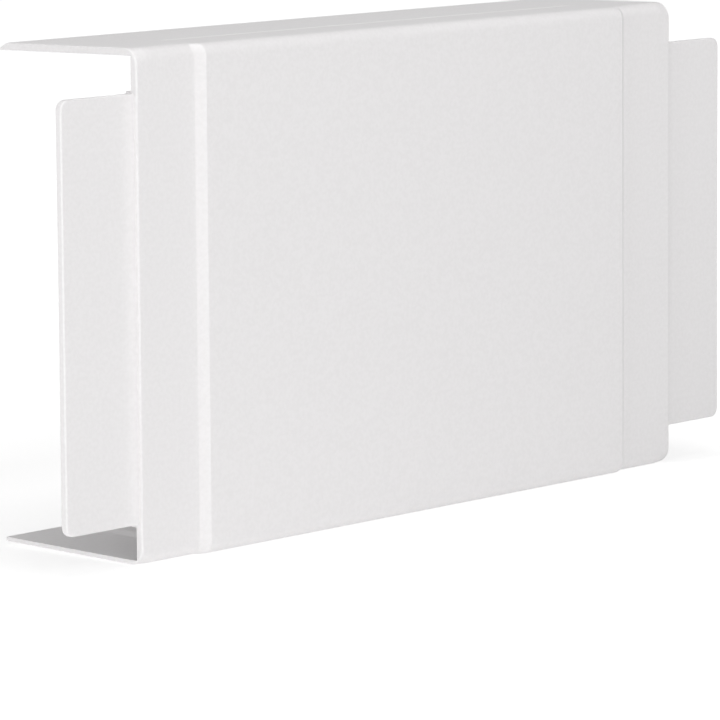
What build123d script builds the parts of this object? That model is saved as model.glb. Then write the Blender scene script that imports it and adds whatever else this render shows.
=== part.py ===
from build123d import *
import math
import os

# Hood of a tee fitting for wall trunking: one moulded shell, open at the back and at both ends.
# X runs along the trunking, Y from the room (-) to the wall (+), Z up.
# The origin is the middle of the underside of the bounding box.

# Outline of the hood
overall_height = 113.5
collar_length = 17.8
ramp_run = 2.2
panel_length = 143.0
panel_rise = 1.6
hood_depth = 43.3

# Wall thicknesses
front_wall = 1.8
side_wall = 1.7
lower_collar_wall = 1.1

# Long front corners, a little rounder where they meet the end faces
corner_radius = 3.0
end_corner_radius = 4.1
corner_growth = 3.5
foot_radius = 1.0
panel_edge_radius = 0.45
end_edge_radius = 0.45

# Side walls lean in towards the wall so that they grip the trunking
toe_in = 0.6
straight_depth = 5.0
upper_bevel_run = 2.6
upper_rear_land = 0.3
lower_bevel = 0.3

# Relief inside the lower wall, where the trunking's edge slides under each collar
relief_inset = 1.4
relief_ramp = 2.4

# Tongue at each end, which lies under the lid of the straight trunking
tongue_projection = 21.2
tongue_height = 94.6
tongue_bottom = 9.0
tongue_setback = 1.65
tongue_thickness = 1.85
tongue_corner_radius = 2.2
tongue_edge_radius = 0.4
root_flare_run = 3.3
root_flare_angle = 16.0
root_flare_land = 0.9
root_web = 0.5
lap_length = 6.0
lap_run_out = 1.5
lap_bite = 0.18

# Break-out score on the upper wall
score_setback = 13.8
score_width = 0.5
score_depth = 0.22
score_inset = 2.4

# Derived stations
half_length = panel_length / 2 + ramp_run + collar_length
panel_y = -(hood_depth + panel_rise) / 2
collar_y = panel_y + panel_rise
wall_y = -panel_y
hinge_y = collar_y + straight_depth
end_x = -half_length
grown_x = end_x + corner_growth
foot_x = end_x + collar_length
crest_x = foot_x + ramp_run
toe_slope = toe_in / (wall_y - hinge_y)
overlap = 1.0

os.makedirs("parts", exist_ok=True)


def wall_lift(y):
    """How far a side wall has leaned inwards at depth y."""
    return max(0.0, toe_slope * (y - hinge_y))


# Outer form of the left half. The collar's first few millimetres are lofted, because the long
# front corners open out towards the end face.
with BuildPart() as collar_nose:
    for station, radius in ((end_x, end_corner_radius), (grown_x, corner_radius)):
        with BuildSketch(Plane.YZ.offset(station)) as nose_section:
            with BuildLine():
                FilletPolyline(
                    (hinge_y, 0),
                    (collar_y, 0),
                    (collar_y, overall_height),
                    (hinge_y, overall_height),
                    radius=radius,
                )
                Line((hinge_y, overall_height), (hinge_y, 0))
            make_face()
    loft(ruled=True)

# The front of the hood, swept along its own plan line: collar, ramp, raised panel. The section
# keeps its attitude, so the corner radius is the same on the collar, the ramp and the panel.
with BuildPart() as front_run:
    with BuildLine() as plan_line:
        FilletPolyline(
            (grown_x, collar_y),
            (foot_x, collar_y),
            (crest_x, panel_y),
            (0, panel_y),
            radius=(foot_radius, panel_edge_radius),
        )
    with BuildSketch(Plane.YZ.offset(grown_x)) as front_section:
        with BuildLine():
            FilletPolyline(
                (hinge_y + panel_rise, 0),
                (collar_y, 0),
                (collar_y, overall_height),
                (hinge_y + panel_rise, overall_height),
                radius=corner_radius,
            )
            Line((hinge_y + panel_rise, overall_height), (hinge_y + panel_rise, 0))
        make_face()
    sweep(path=plan_line.line, normal=(1, 0, 0))
    split(bisect_by=Plane.XZ.offset(-hinge_y), keep=Keep.TOP)

# Side walls and everything between them, behind the line where the walls begin to lean in.
# The upper wall is bevelled at the back, the lower one only eased.
with BuildPart() as hood_form:
    with BuildSketch(Plane.YZ.offset(end_x)) as side_section:
        with BuildLine():
            Polyline(
                (hinge_y, 0),
                (wall_y - lower_bevel, wall_lift(wall_y - lower_bevel)),
                (wall_y, toe_in + lower_bevel),
                (wall_y, overall_height - toe_in - side_wall + upper_rear_land),
                (
                    wall_y - upper_bevel_run,
                    overall_height - wall_lift(wall_y - upper_bevel_run),
                ),
                (hinge_y, overall_height),
                close=True,
            )
        make_face()
    extrude(amount=half_length)
    add(collar_nose.part)
    add(front_run.part)
    rim = (
        edges()
        .group_by(Axis.X)[0]
        .filter_by(lambda edge: edge.center().Y < wall_y - upper_bevel_run)
    )
    fillet(rim, radius=end_edge_radius)

# Trunk passage inside the hood. Its front follows the plan line at the wall thickness, so the
# inside steps out behind the raised panel as well.
ramp_angle = math.atan2(panel_rise, ramp_run)
inner_shift = front_wall * math.tan(ramp_angle / 2)
with BuildPart() as passage:
    with BuildSketch(Plane.XY.offset(side_wall)) as inner_plan:
        with BuildLine():
            FilletPolyline(
                (end_x - overlap, collar_y + front_wall),
                (foot_x + inner_shift, collar_y + front_wall),
                (crest_x + inner_shift, panel_y + front_wall),
                (0, panel_y + front_wall),
                radius=foot_radius,
            )
            Polyline(
                (0, panel_y + front_wall),
                (0, hinge_y),
                (end_x - overlap, hinge_y),
                (end_x - overlap, collar_y + front_wall),
            )
        make_face()
    extrude(amount=overall_height - 2 * side_wall)
    with BuildSketch(Plane.YZ.offset(end_x - overlap)) as inner_section:
        with BuildLine():
            Polyline(
                (hinge_y, side_wall),
                (wall_y + overlap, side_wall + wall_lift(wall_y + overlap)),
                (wall_y + overlap, overall_height - side_wall - wall_lift(wall_y + overlap)),
                (hinge_y, overall_height - side_wall),
                close=True,
            )
        make_face()
    extrude(amount=half_length + overlap)

# Relief inside the lower wall of the collar. It keeps the wall's lean, and its inner end is cut
# off by a slanted plane, so that the floor climbs back to full thickness over a short ramp.
relief_start_y = collar_y + front_wall
relief_depth = side_wall - lower_collar_wall
relief_end_x = foot_x + relief_inset
ramp_direction = Vector(relief_ramp, 0, relief_depth)
lean_direction = Vector(0, 1, toe_slope)
relief_ramp_plane = Plane(
    origin=(relief_end_x, hinge_y, lower_collar_wall),
    z_dir=ramp_direction.cross(lean_direction),
)
with BuildPart() as collar_relief:
    with BuildSketch(Plane.YZ.offset(end_x - overlap)):
        with BuildLine():
            Polyline(
                (relief_start_y, lower_collar_wall),
                (hinge_y, lower_collar_wall),
                (wall_y + overlap, lower_collar_wall + wall_lift(wall_y + overlap)),
                (wall_y + overlap, side_wall + wall_lift(wall_y + overlap) + overlap),
                (relief_start_y, side_wall + overlap),
                close=True,
            )
        make_face()
    extrude(amount=relief_end_x + 2 * relief_ramp - end_x + overlap)
    split(bisect_by=relief_ramp_plane, keep=Keep.TOP)

# Tongue: a flat plate set back behind the collar's face. It laps the inside of the front wall. At
# its root the outer face flares gently towards the collar's end face, and a small arc widens each
# long edge.
tip_x = end_x - tongue_projection
tongue_face_y = collar_y + tongue_setback
tongue_back_y = tongue_face_y + tongue_thickness
lap_y = collar_y + front_wall - lap_bite
lap_start_x = end_x + front_wall / 2
lap_end_x = end_x + lap_length
flare_start_x = end_x - root_flare_run
flare_tangent = math.radians(root_flare_angle)
flare_radius = (root_flare_run - root_flare_land) / math.sin(flare_tangent)
flare_rise = flare_radius * (1 - math.cos(flare_tangent))
flare_top_y = tongue_face_y - flare_rise - root_flare_land * math.tan(flare_tangent)
tongue_top = tongue_bottom + tongue_height
with BuildPart() as tongue:
    with BuildSketch(Plane.XY.offset(tongue_bottom - root_web)) as tongue_plan:
        with BuildLine():
            Line((tip_x, tongue_face_y), (flare_start_x, tongue_face_y))
            JernArc(
                start=(flare_start_x, tongue_face_y),
                tangent=(1, 0),
                radius=flare_radius,
                arc_size=-root_flare_angle,
            )
            Polyline(
                (end_x - root_flare_land, tongue_face_y - flare_rise),
                (end_x, flare_top_y),
                (lap_start_x, flare_top_y),
                (lap_start_x, lap_y),
                (lap_end_x, lap_y),
                (lap_end_x - lap_run_out, tongue_back_y),
                (tip_x, tongue_back_y),
                (tip_x, tongue_face_y),
            )
        make_face()
    extrude(amount=tongue_height + 2 * root_web)
    with BuildSketch(Plane.XZ.offset(-tongue_back_y - overlap)) as tongue_outline:
        with BuildLine():
            JernArc(
                start=(end_x, tongue_bottom - root_web),
                tangent=(0, 1),
                radius=root_web,
                arc_size=90,
            )
            FilletPolyline(
                (end_x - root_web, tongue_bottom),
                (tip_x, tongue_bottom),
                (tip_x, tongue_top),
                (end_x - root_web, tongue_top),
                radius=tongue_corner_radius,
            )
            JernArc(
                start=(end_x - root_web, tongue_top),
                tangent=(1, 0),
                radius=root_web,
                arc_size=90,
            )
            Polyline(
                (end_x, tongue_top + root_web),
                (lap_end_x, tongue_top + root_web),
                (lap_end_x, tongue_bottom - root_web),
                (end_x, tongue_bottom - root_web),
            )
        make_face()
    extrude(amount=tongue_back_y - flare_top_y + 2 * overlap, mode=Mode.INTERSECT)
    plate_faces = faces().filter_by(Axis.Y).sort_by(SortBy.AREA)[-2:]
    plate_edges = plate_faces.edges().filter_by(lambda edge: edge.center().X < flare_start_x)
    fillet(plate_edges, radius=tongue_edge_radius)

# The finished hood: half of it, then its mirror image.
with BuildPart() as tee_hood:
    add(hood_form.part)
    add(passage.part, mode=Mode.SUBTRACT)
    add(collar_relief.part, mode=Mode.SUBTRACT)
    add(tongue.part)
    with BuildSketch(Plane.YZ.offset(score_inset - panel_length / 2)) as score_section:
        score_y = collar_y + score_setback
        score_z = overall_height - wall_lift(score_y)
        with BuildLine():
            Polyline(
                (score_y - score_width, score_z + score_depth),
                (score_y, score_z - score_depth),
                (score_y + score_width, score_z + score_depth),
                close=True,
            )
        make_face()
    extrude(amount=panel_length / 2 - score_inset, mode=Mode.SUBTRACT)
    mirror(about=Plane.YZ)

tee_hood.part.label = "tee_hood"
export_step(tee_hood.part, "parts/tee_hood.step")
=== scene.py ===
# %% [markdown]
# # A hood for a tee in wall trunking
# The object is one white plastic moulding. A raised panel faces the room, a short collar stands at
# each end, two side walls reach back to the wall, and a flat tongue slips under each trunking lid.
# The solid already has every form of the real one, so this lesson dresses it: one plastic finish,
# a floor, soft lamps and a camera. All lengths are in metres, with Z up.

# %% Load the hood
import math

import bmesh
import bpy
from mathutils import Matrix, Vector


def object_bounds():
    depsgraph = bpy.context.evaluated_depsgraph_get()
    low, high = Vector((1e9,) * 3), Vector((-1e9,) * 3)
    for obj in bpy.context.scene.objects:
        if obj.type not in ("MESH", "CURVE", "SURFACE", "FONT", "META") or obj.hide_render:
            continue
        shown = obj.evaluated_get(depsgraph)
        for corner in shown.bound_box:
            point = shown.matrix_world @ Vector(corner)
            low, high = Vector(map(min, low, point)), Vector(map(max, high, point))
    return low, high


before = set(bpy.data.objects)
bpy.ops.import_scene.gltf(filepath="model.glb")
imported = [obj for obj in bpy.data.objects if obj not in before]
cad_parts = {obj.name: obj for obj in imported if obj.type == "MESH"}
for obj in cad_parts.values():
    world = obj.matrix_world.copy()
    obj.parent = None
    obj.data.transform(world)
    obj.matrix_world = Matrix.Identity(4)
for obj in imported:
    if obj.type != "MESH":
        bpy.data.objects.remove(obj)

solid_low, solid_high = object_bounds()
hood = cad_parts["tee_hood"]
print("hood box:", [round(v, 4) for v in solid_low], [round(v, 4) for v in solid_high])
print("hood faces:", len(hood.data.polygons))

# %% [markdown]
# ## Small helpers for building a finish
# A finish is a graph of nodes. Writing each node by hand soon hides what the graph does, so two
# short helpers make a node and join it to its neighbours in one line each. A socket is given by
# its name, or by its number where two sockets of a node share a name.


# %% Node helpers
def new_node(tree, kind, **inputs):
    """Add a node of this kind and set the named inputs."""
    node = tree.nodes.new(kind)
    for name, value in inputs.items():
        node.inputs[name.replace("_", " ")].default_value = value
    return node


def join(tree, source, socket_out, target, socket_in):
    """Link one node's output to another node's input."""
    tree.links.new(source.outputs[socket_out], target.inputs[socket_in])


print("helpers: new_node, join")

# %% [markdown]
# ## The moulded plastic
# The real hood is rigid white PVC, smooth and satin rather than glossy. One Principled shader with
# that plastic's index of refraction is enough for it. The hood keeps the mesh of its solid, which
# has every form already, and only its material slots are filled here.

# %% White satin plastic
plastic = bpy.data.materials.new("white_satin_plastic")
plastic.use_nodes = True
tree = plastic.node_tree
tree.nodes.clear()
surface = tree.nodes.new("ShaderNodeOutputMaterial")
shader = new_node(tree, "ShaderNodeBsdfPrincipled", IOR=1.54)
join(tree, shader, "BSDF", surface, "Surface")
place = tree.nodes.new("ShaderNodeTexCoord")

for slot in hood.material_slots:
    slot.material = plastic
print("finish:", plastic.name, "on", len(hood.material_slots), "slot(s)")

# %% [markdown]
# ## Mottle from the melt
# The plastic is a very slightly warm white, with a faint mottle from the melt. A photograph
# wrapped on it could show this too, but noise that is worked out at every point has no seams and
# holds up close to the surface. Object coordinates are in metres, so a noise scale of 1100 makes
# spots about a millimetre wide, and the next octave halves their size. One noise drives both
# colour and gloss, as it would in the melt.

# %% Tint and gloss
mottle_scale = 1100.0
darker_white = (0.870, 0.855, 0.858, 1.0)
paler_white = (0.898, 0.883, 0.887, 1.0)
melt = new_node(tree, "ShaderNodeTexNoise", Scale=mottle_scale, Detail=1.0, Roughness=0.6)
join(tree, place, "Object", melt, "Vector")
mottle = new_node(tree, "ShaderNodeMapRange", From_Min=0.35, From_Max=0.65)
join(tree, melt, "Fac", mottle, "Value")

tint = new_node(tree, "ShaderNodeMix")
tint.data_type = "RGBA"
tint.inputs["A"].default_value = darker_white
tint.inputs["B"].default_value = paler_white
join(tree, mottle, "Result", tint, "Factor")

gloss = new_node(tree, "ShaderNodeMapRange", To_Min=0.42, To_Max=0.46)
join(tree, mottle, "Result", gloss, "Value")
join(tree, gloss, "Result", shader, "Roughness")
print("mottle: spots about", round(1000.0 / mottle_scale, 2), "mm wide")

# %% [markdown]
# ## Grain of the skin
# The skin copies a polished mould, which is never perfectly smooth. A very fine bump softens the
# reflections without changing the outline. It is far too fine to model.

# %% Fine grain
grain_scale = 2400.0
grain = new_node(tree, "ShaderNodeTexNoise", Scale=grain_scale, Detail=2.0, Roughness=0.5)
join(tree, place, "Object", grain, "Vector")
relief = new_node(tree, "ShaderNodeBump", Strength=0.25, Distance=0.00003)
join(tree, grain, "Fac", relief, "Height")
join(tree, relief, "Normal", shader, "Normal")
print("grain: about", round(1000.0 / grain_scale, 2), "mm wide")

# %% [markdown]
# ## The break-out score
# A shallow groove in the upper wall marks where the fitter breaks it out for the branch. The
# finish
# is painted lighter along that groove: a painted highlight, standing in for light that catches the
# groove. The mask is the distance from each point to the nearest point of the line: X is clamped
# to the line's length, and Y and Z are those of the groove, set back from the panel's face and
# just below the top. It needs no drawn picture and it stays sharp at any size.

# %% Painted highlight along the score
score_half_length = 0.0691
score_setback = 0.0154
score_sink = 0.0001
# The painted highlight is full this close to the groove and gone by the next distance.
highlight_core = 0.0005
highlight_edge = 0.0009
# The lighter white that is painted along the groove as a highlight.
score_highlight_white = (0.985, 0.975, 0.975, 1.0)
score_y = solid_low[1] + score_setback
score_z = solid_high[2] - score_sink

spot = tree.nodes.new("ShaderNodeSeparateXYZ")
join(tree, place, "Object", spot, "Vector")
beside = new_node(tree, "ShaderNodeClamp", Min=-score_half_length, Max=score_half_length)
join(tree, spot, "X", beside, "Value")
nearest = new_node(tree, "ShaderNodeCombineXYZ", Y=score_y, Z=score_z)
join(tree, beside, "Result", nearest, "X")
away = tree.nodes.new("ShaderNodeVectorMath")
away.operation = "DISTANCE"
join(tree, place, "Object", away, 0)
join(tree, nearest, "Vector", away, 1)
# Mask of the painted highlight: 1 on the groove, 0 away from it.
painted_highlight = new_node(
    tree, "ShaderNodeMapRange", From_Min=highlight_core, From_Max=highlight_edge, To_Min=1.0, To_Max=0.0
)
join(tree, away, "Value", painted_highlight, "Value")

# Mix the painted highlight over the plastic's tint.
colour = new_node(tree, "ShaderNodeMix")
colour.data_type = "RGBA"
colour.inputs["B"].default_value = score_highlight_white
join(tree, painted_highlight, "Result", colour, "Factor")
join(tree, tint, "Result", colour, "A")
join(tree, colour, "Result", shader, "Base Color")
print("score: at Y", round(score_y, 5), "and Z", round(score_z, 5))

# %% [markdown]
# ## Floor
# The hood stands on its lower side wall, on a pale sheet so wide that its edge never shows. The
# sheet belongs to the picture and not to the part.

# %% Floor sheet
sheet_half_width = 6.0
floor_shape = bmesh.new()
bmesh.ops.create_grid(floor_shape, x_segments=1, y_segments=1, size=sheet_half_width)
floor_mesh = bpy.data.meshes.new("floor")
floor_shape.to_mesh(floor_mesh)
floor_shape.free()
floor = bpy.data.objects.new("floor", floor_mesh)
bpy.context.scene.collection.objects.link(floor)
print("floor:", floor.dimensions[:])

# %% [markdown]
# ## Matt paper
# White mouldings are often photographed on paper. Its fibres change its colour very slightly, and
# it is fully matt, so the hood leaves a shadow on it but no reflection.

# %% Paper
paper = bpy.data.materials.new("white_paper")
paper.use_nodes = True
tree = paper.node_tree
tree.nodes.clear()
surface = tree.nodes.new("ShaderNodeOutputMaterial")
matt = new_node(tree, "ShaderNodeBsdfDiffuse")
fibres = new_node(tree, "ShaderNodeTexNoise", Scale=30.0, Detail=4.0)
place = tree.nodes.new("ShaderNodeTexCoord")
join(tree, place, "Object", fibres, "Vector")
shade = new_node(tree, "ShaderNodeMapRange", To_Min=0.54, To_Max=0.56)
join(tree, fibres, "Fac", shade, "Value")
join(tree, shade, "Result", matt, "Color")
floor.data.materials.append(paper)
print("paper:", paper.name, "on", floor.name)

# %% [markdown]
# ## A lit table
# The paper lies on a lit table, which brightens the lower long corner of the hood from below, as
# lamps above cannot. The light is even away from the hood. Near it, the glow is painted stronger
# at the left than at the right, so the hood's lower corner is lit more at its left end.

# %% Glow for the hood
even_glow = 0.475
left_glow = 0.56
right_glow = 0.29
reach = tree.nodes.new("ShaderNodeVectorMath")
reach.operation = "LENGTH"
join(tree, place, "Object", reach, 0)
ring = new_node(tree, "ShaderNodeMapRange", From_Min=0.12, From_Max=0.30)
join(tree, reach, "Value", ring, "Value")
along = tree.nodes.new("ShaderNodeSeparateXYZ")
join(tree, place, "Object", along, "Vector")
# Painted light: near the hood the paper glows stronger at the left than at the right.
near_glow = new_node(
    tree,
    "ShaderNodeMapRange",
    From_Min=-0.20,
    From_Max=0.20,
    To_Min=left_glow,
    To_Max=right_glow,
)
join(tree, along, "X", near_glow, "Value")
glow = new_node(tree, "ShaderNodeMix", B=even_glow)
join(tree, ring, "Result", glow, "Factor")
join(tree, near_glow, "Result", glow, "A")
print("glow: left", left_glow, "right", right_glow, "away from the hood", even_glow)

# %% [markdown]
# ## What the camera sees of it
# The camera gets another strength than the hood does. It makes the paper white at a distance and
# a little weaker close by, so that the faint shadow at the foot of the hood stays.

# %% White for the camera
paper_lift = new_node(
    tree, "ShaderNodeMapRange", From_Min=0.10, From_Max=0.45, To_Min=0.65, To_Max=1.0
)
join(tree, reach, "Value", paper_lift, "Value")
seen = tree.nodes.new("ShaderNodeLightPath")
strength = tree.nodes.new("ShaderNodeMix")
join(tree, seen, "Is Camera Ray", strength, "Factor")
join(tree, glow, "Result", strength, "A")
join(tree, paper_lift, "Result", strength, "B")
lit = new_node(tree, "ShaderNodeEmission", Color=(1.0, 1.0, 1.0, 1.0))
join(tree, strength, "Result", lit, "Strength")
total = tree.nodes.new("ShaderNodeAddShader")
join(tree, matt, "BSDF", total, 0)
join(tree, lit, "Emission", total, 1)
join(tree, total, "Shader", surface, "Surface")
print("paper nodes:", len(tree.nodes))

# %% [markdown]
# ## The room around it
# The camera sees a white room. Glossy rays meet it too, at a lower strength, so the top wall
# takes the sheen that satin plastic shows at a grazing angle. Matt reflections get nothing from
# it: the lamps and the table do that work, and so the inside stays darker than the outside.

# %% World
room_white = 1.0
room_sheen = 0.44
world = bpy.data.worlds.new("studio")
bpy.context.scene.world = world
world.use_nodes = True
tree = world.node_tree
tree.nodes.clear()
sky = tree.nodes.new("ShaderNodeOutputWorld")
fill = new_node(tree, "ShaderNodeBackground", Color=(1.0, 1.0, 1.0, 1.0))
seen = tree.nodes.new("ShaderNodeLightPath")
sheen = new_node(tree, "ShaderNodeMix", A=0.0, B=room_sheen)
join(tree, seen, "Is Glossy Ray", sheen, "Factor")
level = new_node(tree, "ShaderNodeMix", B=room_white)
join(tree, seen, "Is Camera Ray", level, "Factor")
join(tree, sheen, "Result", level, "A")
join(tree, level, "Result", fill, "Strength")
join(tree, fill, "Background", sky, "Surface")
print("room: white for the camera", room_white, "in reflections", room_sheen)

# %% [markdown]
# ## Lamps
# Six soft boxes, all aimed at the middle of the hood. A large one high in front gives the panel
# its even tone, and one at each side of it sets how that tone falls off from left to right. Two
# low ones at the left light the end faces, which are the brightest strips, and one overhead
# lights the top wall. Large lamps of low power keep every edge soft and clip nowhere.


# %% Soft boxes
def soft_box(name, position, aim, width, height, watts):
    """A rectangular area lamp that stands at position and faces aim."""
    lamp_data = bpy.data.lights.new(name, "AREA")
    lamp_data.shape = "RECTANGLE"
    lamp_data.size = width
    lamp_data.size_y = height
    lamp_data.energy = watts
    lamp = bpy.data.objects.new(name, lamp_data)
    lamp.location = position
    lamp.rotation_euler = (Vector(aim) - Vector(position)).to_track_quat("-Z", "Y").to_euler()
    bpy.context.scene.collection.objects.link(lamp)
    print(name, watts, "W")


middle = (0.0, 0.0, 0.057)
soft_box("side_low", (-1.2, 0.0, 0.1), middle, 0.8, 0.2, 2.62)
soft_box("side_near", (-0.8, -0.1, 0.25), middle, 0.4, 0.4, 0.96)
soft_box("front_left", (-0.95, -0.95, 0.5), middle, 1.1, 0.9, 2.96)
soft_box("front_high", (0.0, -1.2, 0.8), middle, 1.3, 1.3, 7.63)
soft_box("front_right", (0.8, -1.0, 0.5), middle, 0.9, 0.9, 0.71)
soft_box("top", (0.0, 0.0, 1.1), middle, 0.8, 0.8, 6.27)

# %% [markdown]
# ## Camera
# A long lens from the left, a little above the hood. The lens is shifted down slightly, as on a
# view camera, because the hood sits above the middle of the frame.

# %% Camera
camera_data = bpy.data.cameras.new("camera")
camera_data.sensor_width = 36.0
camera_data.lens = 240.67
camera_data.shift_y = -0.1083
camera = bpy.data.objects.new("camera", camera_data)
camera.location = (-0.8223, -0.7571, 0.1927)
camera_degrees = (82.833, 0.429, -47.489)
camera.rotation_euler = [math.radians(turn) for turn in camera_degrees]
bpy.context.scene.collection.objects.link(camera)
bpy.context.scene.camera = camera
bpy.context.scene.view_settings.view_transform = "Standard"
print("camera:", [round(v, 3) for v in camera.location], "lens", round(camera_data.lens, 2), "mm")
